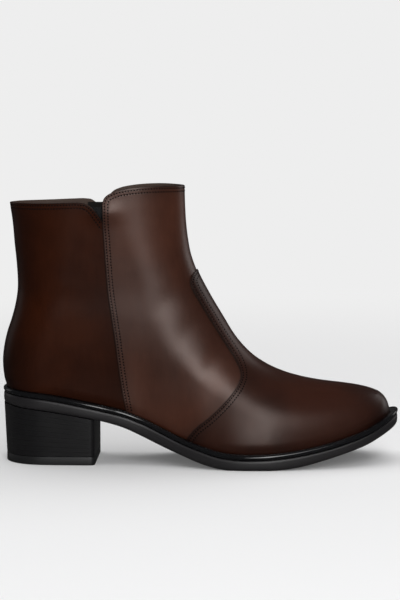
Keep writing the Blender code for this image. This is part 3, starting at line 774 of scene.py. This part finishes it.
def loft(name, loops, hollow):
    """A solid through loops of equal length: a ring when hollow, else closed by strips."""
    bm = bmesh.new()
    rings = [[bm.verts.new(point) for point in loop] for loop in loops]
    pairs = list(zip(rings, rings[1:]))
    if hollow:
        pairs.append((rings[-1], rings[0]))
    for low, high in pairs:
        for k in range(len(low)):
            after = (k + 1) % len(low)
            bm.faces.new((low[k], low[after], high[after], high[k]))
    if not hollow:
        for ring in (rings[0], rings[-1]):
            half = len(ring) // 2
            for k in range(half):
                corners = (ring[k], ring[k + 1], ring[-k - 1], ring[-k])
                bm.faces.new(list(dict.fromkeys(corners)))
    bmesh.ops.recalc_face_normals(bm, faces=bm.faces)
    mesh = bpy.data.meshes.new(name)
    bm.to_mesh(mesh)
    bm.free()
    return add_object(name, mesh)


def build_welt(rubber):
    """The raised rand round the feather edge, with its row of mock stitches."""
    def at(drop):
        return lambda x: welt_top(x) - drop
    inner = LINING_LEVEL - 0.1 * MM
    bead = WELT_THICKNESS / 2
    loops = [sole_loop(inner, 0, at(WELT_THICKNESS)), sole_loop(-bead, 1, at(WELT_THICKNESS))]
    for k in range(1, WELT_BEAD_STEPS):
        turn = math.pi * k / WELT_BEAD_STEPS
        loops.append(sole_loop(-bead + bead * math.sin(turn), 1, at(bead * (1 + math.cos(turn)))))
    loops += [sole_loop(-bead, 1, at(0)), sole_loop(inner, 0, at(0))]
    hand_over(loft("welt_rand", loops, hollow=True), [rubber],
              replaces=["welt"], angle=50)

    path = sole_loop(-bead - 0.5 * MM, 1, at(-0.02 * MM))
    lateral = path[RIM_HALF // 3:RIM_HALF + 1]
    medial = path[RIM_HALF:2 * RIM_HALF - RIM_HALF // 3]
    master = stitch_master(WELT_STITCH * WELT_STITCH_SHARE, WELT_THREAD)
    paths = [(row, np.tile((0.0, 0.0, 1.0), (len(row), 1))) for row in (lateral, medial)]
    stitches = repeat_along(master, "welt_stitches", paths, WELT_STITCH)
    hand_over(stitches, [rubber], angle=60)


def outsole_top(x):
    return welt_top(x) - WELT_THICKNESS - GAP


def build_outsole(rubber):
    loops = []
    for inset, share in OUTSOLE_EDGE:
        def height(x, share=share):
            return outsole_bottom(x) + share * (outsole_top(x) - outsole_bottom(x))
        loops.append(sole_loop(-inset * MM, 1, height))
    hand_over(loft("outsole_unit", loops, hollow=False), [rubber],
              replaces=["outsole"], angle=35)


def build_insole(sock):
    inset = LINING_LEVEL - INSOLE_CLEARANCE
    loops = [sole_loop(inset, 0, lambda x: outsole_top(x) + GAP)]
    for k in range(INSOLE_EDGE_STEPS + 1):
        turn = math.pi / 2 * k / INSOLE_EDGE_STEPS
        drop = INSOLE_EDGE * (1 - math.sin(turn))
        loops.append(sole_loop(inset - INSOLE_EDGE * (1 - math.cos(turn)), 0,
                               lambda x, drop=drop: welt_top(x) + INSOLE_RISE - drop))
    hand_over(loft("insole_sock", loops, hollow=False), [sock],
              replaces=["insole"], angle=45)


def heel_loop(inset, back_shift, height):
    """Heel outline: the sole's round heel cut off flat at the breast, with eased corners."""
    edge = offset_rim(PROJECTION - inset)
    half = RIM_HALF + 1
    straight_end = HEEL_BREAST_X - HEEL_CORNER
    turn = np.linspace(0, math.pi / 2, HEEL_BACK_STEPS + 1)
    ease = np.linspace(0, math.pi / 2, HEEL_CORNER_STEPS + 1)[1:]
    x = straight_end - np.cos(turn) * (straight_end - edge[0, 0] - back_shift)
    x = np.concatenate([x, straight_end + HEEL_CORNER * np.sin(ease)])
    drawn_in = np.concatenate([np.zeros(len(turn)), HEEL_CORNER * (1 - np.cos(ease))])
    sole_x = x - back_shift * (x < 0)
    lateral = np.interp(sole_x, edge[:half, 0], edge[:half, 1]) + drawn_in
    medial_edge = np.vstack([edge[:1], edge[:half - 2:-1]])
    medial = np.interp(sole_x, medial_edge[:, 0], medial_edge[:, 1]) - drawn_in
    lateral[0] = medial[0] = 0.0
    loop_x = np.concatenate([x, x[:0:-1]])
    loop_y = np.concatenate([lateral, medial[:0:-1]])
    return np.column_stack([loop_x, loop_y, np.broadcast_to(height(loop_x), len(loop_x))])


def build_heel(stack, lift_rubber):
    """Stacked heel block with a fine line between the layers, and the top lift under it."""
    low_z = TOP_LIFT_THICKNESS + GAP
    foot = HEEL_INSET + HEEL_FLARE
    loops = []
    for layer in range(HEEL_LAYERS):
        for part, groove in HEEL_LAYER[1 if layer else 0:]:
            share = (layer + part) / HEEL_LAYERS
            inset = foot + (HEEL_INSET - foot) * share + HEEL_GROOVE * groove

            def height(x, share=share):
                return low_z + share * (outsole_bottom(x) - GAP - low_z)
            loops.append(heel_loop(inset, HEEL_TAPER * (1 - share), height))
    hand_over(loft("heel_stack_block", loops, hollow=False), [stack],
              replaces=["heel_block"], angle=30)
    lift = [heel_loop(foot + inset * MM, HEEL_TAPER, lambda x, z=z: z * MM)
            for inset, z in TOP_LIFT_EDGE]
    hand_over(loft("top_lift_layer", lift, hollow=False), [lift_rubber],
              replaces=["top_lift"], angle=30)


# Elastic and zip


def build_elastic_gore(elastic):
    """Ribbed elastic behind the notch on the lateral side."""
    u, v = np.linspace(0, 1, GORE_COLUMNS + 1), np.linspace(0, 1, GORE_ROWS + 1)
    left, right = evenly(metres(GORE_BACK), v), evenly(metres(GORE_FRONT), v)
    bottom, top = evenly(metres(GORE_FOOT), u), evenly(metres(GORE_TOP), u)
    x, z = coons(left, right, bottom, top, u, v)
    rib = RIB_HEIGHT * np.cos(x / RIB_PITCH * 2 * math.pi)
    place, _ = skin(x.ravel(), z.ravel(), 1, 0.0)
    place[:, 1] += GAP - LINING_LEVEL + RIB_HEIGHT - rib.ravel()
    gore = object_from("elastic_panel", place, grid_faces(*x.shape))
    thicken(gore, GORE_THICKNESS)
    hand_over(gore, [elastic], replaces=["elastic_gore"], angle=70)


def zip_middle(z):
    return seam_x(np.minimum(z, SEAM[-1, 1])) - ZIP_SLOT_WIDTH / 2


def build_zip(tape_cloth, teeth_finish):
    """Tape behind the slot, with two interlocking rows of teeth up to the slider."""
    v = np.linspace(0, 1, TAPE_ROWS + 1)
    foot, top = ZIP_FOOT_Z - ZIP_TAPE_MARGIN, ZIP_TOP_Z
    z_row = foot + (top - foot) * v ** TAPE_ROW_EASE
    half = ZIP_SLOT_WIDTH / 2 + ZIP_TAPE_MARGIN
    round_foot = np.sqrt(np.clip(1 - np.clip(1 - (z_row - foot) / half, 0, 1) ** 2, 0.02, 1))
    u = np.linspace(-1, 1, TAPE_COLUMNS + 1)
    x = zip_middle(z_row)[:, None] + half * round_foot[:, None] * u[None]
    z = np.repeat(z_row[:, None], len(u), axis=1)
    place, _ = skin(x.ravel(), z.ravel(), 2, LINING_LEVEL - GAP)
    tape = object_from("zip_tape_cloth", place, grid_faces(*x.shape, flip=True))
    thicken(tape, TAPE_THICKNESS)
    hand_over(tape, [tape_cloth], replaces=["zip"], angle=50)

    deselect()
    bpy.ops.mesh.primitive_cube_add(size=1.0)
    tooth = bpy.context.object
    tooth.dimensions = (TOOTH_LENGTH, TOOTH_PITCH * TOOTH_SHARE, TOOTH_HEIGHT)
    apply_place(tooth)
    bevel_faces(tooth, lambda normal: True, TOOTH_BEVEL, 1)
    height = np.arange(ZIP_FOOT_Z + 2.5 * MM, ZIP_TOP_Z - 1.5 * MM, TOOTH_PITCH / 2)
    swing = np.where(np.arange(len(height)) % 2 == 0, -1.0, 1.0) * TOOTH_SWING
    x = zip_middle(height)
    level = LINING_LEVEL - GAP + TOOTH_HEIGHT / 2
    place, normal = skin(x + swing, height, 2, level)
    ahead, _ = skin(x + swing + 0.5 * MM, height, 2, level)
    teeth = copies_of(tooth, "zip_teeth", place, unit(ahead - place), normal)
    bpy.data.objects.remove(tooth)
    hand_over(teeth, [teeth_finish], angle=40)


# Materials


class Value:
    """A shader socket on which arithmetic can be written."""

    def __init__(self, finish, socket):
        self.finish, self.socket = finish, socket

    def __add__(self, other):
        return self.finish.math("ADD", self, other)

    def __sub__(self, other):
        return self.finish.math("SUBTRACT", self, other)

    def __rsub__(self, other):
        return self.finish.math("SUBTRACT", other, self)

    def __mul__(self, other):
        return self.finish.math("MULTIPLY", self, other)

    def __truediv__(self, other):
        return self.finish.math("DIVIDE", self, other)

    def __pow__(self, other):
        return self.finish.math("POWER", self, other)

    __radd__, __rmul__ = __add__, __mul__


SHADER_SOCKETS = {
    "base_color": "Base Color", "roughness": "Roughness", "metallic": "Metallic",
    "coat_weight": "Coat Weight", "coat_roughness": "Coat Roughness",
    "specular": "Specular IOR Level", "specular_tint": "Specular Tint", "normal": "Normal",
}


class Finish:
    """One material and the nodes that feed its Principled shader."""

    def __init__(self, name, **constants):
        self.material = bpy.data.materials.new(name)
        self.material.use_nodes = True
        self.tree = self.material.node_tree
        self.shader = self.tree.nodes["Principled BSDF"]
        self.dress(**constants)
        self.place = self.node("ShaderNodeTexCoord", output="Object")
        self.shader_output = Value(self, self.shader.outputs[0])

    def feed(self, node, socket, value):
        target = node.inputs[socket]
        if isinstance(value, Value):
            self.tree.links.new(value.socket, target)
        elif isinstance(value, tuple) and len(value) == 3 and target.type == "RGBA":
            target.default_value = (*value, 1.0)
        else:
            target.default_value = value

    def node(self, kind, settings=None, inputs=None, output=0):
        made = self.tree.nodes.new(kind)
        for name, value in (settings or {}).items():
            setattr(made, name, value)
        for socket, value in (inputs or {}).items():
            self.feed(made, socket, value)
        return Value(self, made.outputs[output])

    def math(self, operation, *values):
        return self.node("ShaderNodeMath", {"operation": operation}, dict(enumerate(values)))

    def clip(self, value):
        return self.node("ShaderNodeClamp", inputs={"Value": value})

    def attribute(self, name):
        return self.node("ShaderNodeAttribute", {"attribute_name": name}, output="Fac")

    def noise(self, scale, detail=2.0, roughness=0.5, vector=None):
        return self.node("ShaderNodeTexNoise", inputs={
            "Vector": vector or self.place, "Scale": scale, "Detail": detail,
            "Roughness": roughness})

    def cells(self, scale):
        return self.node("ShaderNodeTexVoronoi", inputs={"Vector": self.place, "Scale": scale})

    def bands(self, direction, scale, distortion):
        return self.node("ShaderNodeTexWave", {"bands_direction": direction}, {
            "Vector": self.place, "Scale": scale, "Distortion": distortion}, output="Fac")

    def streaks(self, *scale):
        """Noise drawn out along the axes with the smaller scales."""
        stretched = self.node("ShaderNodeMapping", inputs={"Vector": self.place, "Scale": scale})
        return self.noise(1.0, 3.0, 0.6, stretched)

    def ramp(self, value, low, high, to_low=0.0, to_high=1.0):
        """Smooth change from to_low at low to to_high at high."""
        return self.node("ShaderNodeMapRange", {"interpolation_type": "SMOOTHSTEP"}, {
            "Value": value, "From Min": low, "From Max": high, "To Min": to_low, "To Max": to_high})

    def blend(self, factor, first, second):
        return self.node("ShaderNodeMix", {"data_type": "RGBA"},
                         {"Factor": factor, 6: first, 7: second}, output=2)

    def line_at(self, value, centre, width):
        """1 at a centre value, falling to 0 at a width from it."""
        return self.clip(1 - self.math("ABSOLUTE", value - centre) / width)

    def bump(self, height, distance, strength=1.0, normal=None):
        inputs = {"Height": height, "Distance": distance, "Strength": strength}
        if normal:
            inputs["Normal"] = normal
        return self.node("ShaderNodeBump", inputs=inputs)

    def dress(self, **sockets):
        for name, value in sockets.items():
            self.feed(self.shader, SHADER_SOCKETS[name], value)
        return self.material


def burnished_leather(name, deep, warm, darkest, seed, sheen):
    """Smooth burnished leather: warm in the panel's middle, darker along its edges.
    A thin line of painted shade marks the seam gap at each edge, and painted shade darkens the
    stitch rows.

    The seed moves the clouds, and sheen is the strength of the gloss.
    """
    f = Finish(name, specular=sheen, specular_tint=(1.0, 0.80, 0.72), coat_roughness=0.34)
    edge, sewn = f.attribute("edge"), f.attribute("sewn")
    x = f.node("ShaderNodeSeparateXYZ", inputs={"Vector": f.place}, output="X")
    moved = f.node("ShaderNodeVectorMath", {"operation": "ADD"},
                   {0: f.place, 1: (seed, seed, 0.0)})
    cloud = f.noise(15.0, 3.0, 0.55, moved)
    mottle = f.noise(62.0, 4.0, 0.6, moved)
    streaks = f.streaks(420.0, 420.0, 70.0)
    warmth = f.clip(f.ramp(cloud, 0.38, 0.64) * 0.6 + mottle * 0.3 + streaks * 0.5 - 0.2)
    # Darker edges: a burnish over the last 12 mm, and painted shade of the seam gap in the last
    # millimetre; the mottle adds random darker tone.
    burnish_and_seam_shade = f.ramp(edge, 0.0, 12 * MM, 0.24, 0.0) + f.ramp(edge, 0.0, 1 * MM, 0.66, 0.0)
    burnish_and_seam_shade += f.ramp(mottle, 0.35, 0.7) * 0.12
    toe = f.ramp(x, 180 * MM, 232 * MM, 0.0, 0.5)
    heel = f.ramp(x, -34 * MM, 4 * MM, 0.85, 0.0)
    dark = f.clip(f.math("MAXIMUM", burnish_and_seam_shade, f.math("MAXIMUM", toe, heel)))
    rows = sum(f.line_at(sewn, row, 0.6 * MM) for row in STITCH_ROWS)
    colour = f.blend(dark, f.blend(warmth, deep, warm), darkest)
    # Painted shade along the sunken stitch rows.
    colour = f.blend(rows * 0.25, colour, darkest)
    grain = f.cells(1500.0) * 0.6 + f.noise(2600.0, 2.0) * 0.4
    relief = f.bump(grain, 0.04 * MM, 0.5)
    relief = f.bump(f.noise(52.0, 2.0, 0.45), 0.9 * MM, 0.22, relief)
    relief = f.bump(1 - rows, 0.1 * MM, 0.6, relief)
    gloss = 0.30 + f.noise(120.0, 3.0) * 0.06 + streaks * 0.08 + dark * 0.03
    coat = sheen * (0.5 - dark * 0.2)
    return f.dress(base_color=colour, roughness=gloss, coat_weight=coat, normal=relief)


def lining_leather():
    f = Finish("lining", specular=0.35)
    tone = f.noise(45.0, 3.0)
    colour = f.blend(tone, (0.060, 0.038, 0.030), (0.110, 0.075, 0.060))
    relief = f.bump(f.noise(1800.0, 3.0), 0.06 * MM, 0.6)
    return f.dress(base_color=colour, roughness=0.62 + f.noise(200.0) * 0.15, normal=relief)


def cut_edge_paint():
    f = Finish("edge_paint", specular=0.45)
    colour = f.blend(f.noise(300.0, 3.0), (0.014, 0.007, 0.005), (0.030, 0.014, 0.010))
    relief = f.bump(f.noise(1500.0, 2.0), 0.08 * MM, 0.6)
    return f.dress(base_color=colour, roughness=0.34 + f.noise(400.0) * 0.12, normal=relief)


def thread_finish():
    f = Finish("waxed_thread", specular=0.12)
    ply = f.bands("DIAGONAL", 1400.0, 0.6)
    colour = f.blend(ply, (0.0012, 0.0010, 0.0010), (0.0035, 0.0030, 0.0028))
    relief = f.bump(ply, 0.06 * MM, 0.7)
    return f.dress(base_color=colour, roughness=0.7 + ply * 0.12, normal=relief)


def glossy_rubber(name, deep, pale, rough, grain, lines=0.0):
    """Moulded black rubber or plastic; lines is the strength of fine horizontal marks."""
    f = Finish(name, specular=0.5)
    cloud = f.noise(26.0, 3.0)
    colour = f.blend(cloud, deep, pale)
    fine_grain = f.noise(1900.0, 3.0)
    streaks = f.streaks(18.0, 18.0, 900.0)
    relief = f.bump(fine_grain, 0.03 * MM, grain)
    if lines:
        relief = f.bump(streaks, 0.08 * MM, lines, relief)
    gloss = rough - 0.05 + f.noise(60.0, 3.0) * 0.08 + streaks * (0.06 if lines else 0.02)
    return f.dress(base_color=colour, roughness=gloss, normal=relief)


def sock_leather():
    f = Finish("sock_leather", specular=0.4)
    colour = f.blend(f.noise(30.0, 3.0), (0.050, 0.026, 0.016), (0.088, 0.048, 0.030))
    relief = f.bump(f.cells(1300.0), 0.07 * MM, 0.6)
    return f.dress(base_color=colour, roughness=0.6 + f.noise(150.0) * 0.15, normal=relief)


def elastic_cloth():
    f = Finish("elastic_cloth", specular=0.3)
    weave = f.bands("Z", 520.0, 0.4)
    fuzz = f.noise(2400.0, 3.0)
    colour = f.blend(weave, (0.006, 0.006, 0.0065), (0.017, 0.017, 0.018))
    relief = f.bump(weave * 0.7 + fuzz * 0.3, 0.12 * MM, 0.8)
    return f.dress(base_color=colour, roughness=0.78 + fuzz * 0.12, normal=relief)


def tape_weave():
    f = Finish("zip_tape_weave", specular=0.3)
    cross = f.bands("X", 600.0, 0.3) * f.bands("Z", 600.0, 0.3)
    colour = f.blend(cross, (0.008, 0.0065, 0.006), (0.022, 0.017, 0.015))
    relief = f.bump(cross, 0.12 * MM, 0.8)
    return f.dress(base_color=colour, roughness=0.75 + cross * 0.1, normal=relief)


def dark_nickel():
    f = Finish("zip_nickel")
    brushed = f.streaks(2600.0, 300.0, 160.0)
    colour = f.blend(brushed, (0.40, 0.37, 0.34), (0.56, 0.52, 0.48))
    return f.dress(base_color=colour, metallic=1.0, roughness=0.32 + brushed * 0.14,
                   normal=f.bump(brushed, 0.02 * MM, 0.5))


# Floor, light and camera


def build_stage():
    """A white sweep: it takes shadows near the boot and glows evenly farther off."""
    bpy.ops.mesh.primitive_plane_add(size=FLOOR_SIZE, location=(0.1, 0.0, 0.0))
    floor = bpy.context.object
    floor.name = "floor"
    f = Finish("studio_floor", roughness=0.85, specular=0.0, base_color=FLOOR_COLOUR)
    glow = f.node("ShaderNodeEmission", inputs={"Color": (1.0, 1.0, 1.0), "Strength": STUDIO_SEEN})
    away = f.node("ShaderNodeVectorMath", {"operation": "LENGTH"}, {0: f.place}, output="Value")
    share = f.ramp(away, SHADOWED_TO, GLOWING_FROM, GLOW_NEAR_BOOT, 1.0)
    chosen = f.node("ShaderNodeMixShader", inputs={0: share, 1: f.shader_output, 2: glow})
    f.tree.links.new(chosen.socket, f.tree.nodes["Material Output"].inputs["Surface"])
    floor.data.materials.append(f.material)
    floor.visible_glossy = False


def aim(thing, at, target, lean=0.0):
    """Put a lamp or camera at a place, turned to its target and leaned about that line."""
    thing.location = at
    turned = (Vector(target) - Vector(at)).to_track_quat("-Z", "Y")
    leaned = turned @ Quaternion((0.0, 0.0, 1.0), -math.radians(lean))
    thing.rotation_euler = leaned.to_euler()


def lamp(name, kind, at, power, lean=0.0, **settings):
    light = bpy.data.lights.new(name, kind)
    light.energy = power
    for setting, value in settings.items():
        setattr(light, setting, value)
    holder = add_object(name, light)
    aim(holder, at, BOOT_MIDDLE, lean)
    holder.visible_camera = False
    return holder


def softbox(name, at, power, width, height, lean=0.0):
    lamp(name, "AREA", at, power, lean, shape="RECTANGLE", size=width, size_y=height)


def build_lights():
    """A white studio: pale surroundings for the camera, dimmer ones for the leather."""
    world = bpy.data.worlds.new("studio")
    world.use_nodes = True
    tree = world.node_tree
    sky, seen = tree.nodes["Background"], tree.nodes.new("ShaderNodeBackground")
    for background, tone in ((sky, STUDIO_AROUND), (seen, STUDIO_SEEN)):
        background.inputs["Color"].default_value = (tone, tone, tone, 1.0)
    chosen = tree.nodes.new("ShaderNodeMixShader")
    path = tree.nodes.new("ShaderNodeLightPath")
    tree.links.new(path.outputs["Is Camera Ray"], chosen.inputs[0])
    tree.links.new(sky.outputs[0], chosen.inputs[1])
    tree.links.new(seen.outputs[0], chosen.inputs[2])
    tree.links.new(chosen.outputs[0], tree.nodes["World Output"].inputs["Surface"])
    bpy.context.scene.world = world
    bpy.context.scene.view_settings.view_transform = "Standard"
    overhead = lamp("overhead", "SUN", (0.09, 0.35, 2.0), 2.2, angle=math.radians(80))
    overhead.visible_glossy = False
    softbox("front_softbox", (0.42, -1.62, 0.87), 18.5, 0.50, 1.60, lean=18)
    softbox("rim_right", (1.5, 1.1, 0.8), 4.0, 0.9, 1.4)
    softbox("rim_left", (-1.6, 0.8, 0.6), 1.2, 0.8, 1.2)


def build_camera():
    data = bpy.data.cameras.new("camera")
    data.sensor_fit = "VERTICAL"
    data.sensor_height = CAMERA_SENSOR
    reach = (Vector(CAMERA_AIM) - Vector(CAMERA_AT)).length
    data.lens = CAMERA_SENSOR * reach / CAMERA_VIEW_HEIGHT
    camera = add_object("camera", data)
    aim(camera, CAMERA_AT, CAMERA_AIM)
    bpy.context.scene.camera = camera


build_camera()
build_lights()
build_stage()

lining, edge_paint, thread = lining_leather(), cut_edge_paint(), thread_finish()
quarter_leather = burnished_leather(
    "front_quarter_leather", seed=0.0, sheen=0.48, deep=(0.031, 0.0094, 0.0052),
    warm=(0.068, 0.0200, 0.0098), darkest=(0.011, 0.005, 0.004))
back_leather = burnished_leather(
    "back_quarter_leather", seed=3.1, sheen=0.12, deep=(0.018, 0.0036, 0.0010),
    warm=(0.037, 0.0078, 0.0019), darkest=(0.006, 0.0024, 0.0018))
vamp_leather = burnished_leather(
    "vamp_leather", seed=7.7, sheen=0.34, deep=(0.014, 0.0043, 0.0025),
    warm=(0.034, 0.0088, 0.0042), darkest=(0.008, 0.0036, 0.0030))
build_back_quarter([back_leather, lining, edge_paint])
build_front_quarter([quarter_leather, lining, edge_paint])
build_vamp([vamp_leather, lining, edge_paint])
build_stitching(thread)
build_welt(glossy_rubber(
    "welt_rubber", (0.004, 0.004, 0.0045), (0.008, 0.008, 0.009), rough=0.10, grain=0.2))
build_outsole(glossy_rubber(
    "outsole_rubber", (0.012, 0.0108, 0.0118), (0.019, 0.0173, 0.0185), rough=0.42, grain=0.5))
build_insole(sock_leather())
heel_stack = glossy_rubber("heel_stack", (0.006, 0.0057, 0.0062), (0.010, 0.0095, 0.0102),
                           rough=0.32, grain=0.3, lines=0.6)
build_heel(heel_stack, glossy_rubber(
    "top_lift_rubber", (0.008, 0.008, 0.0085), (0.014, 0.014, 0.0145), rough=0.5, grain=0.6))
build_elastic_gore(elastic_cloth())
build_zip(tape_weave(), glossy_rubber(
    "zip_teeth", (0.030, 0.028, 0.026), (0.046, 0.042, 0.038), rough=0.30, grain=0.3))
nickel = dark_nickel()
for node in ("zip_slider", "zip_pull"):
    materials = bpy.data.objects[node].data.materials
    materials.clear()
    materials.append(nickel)
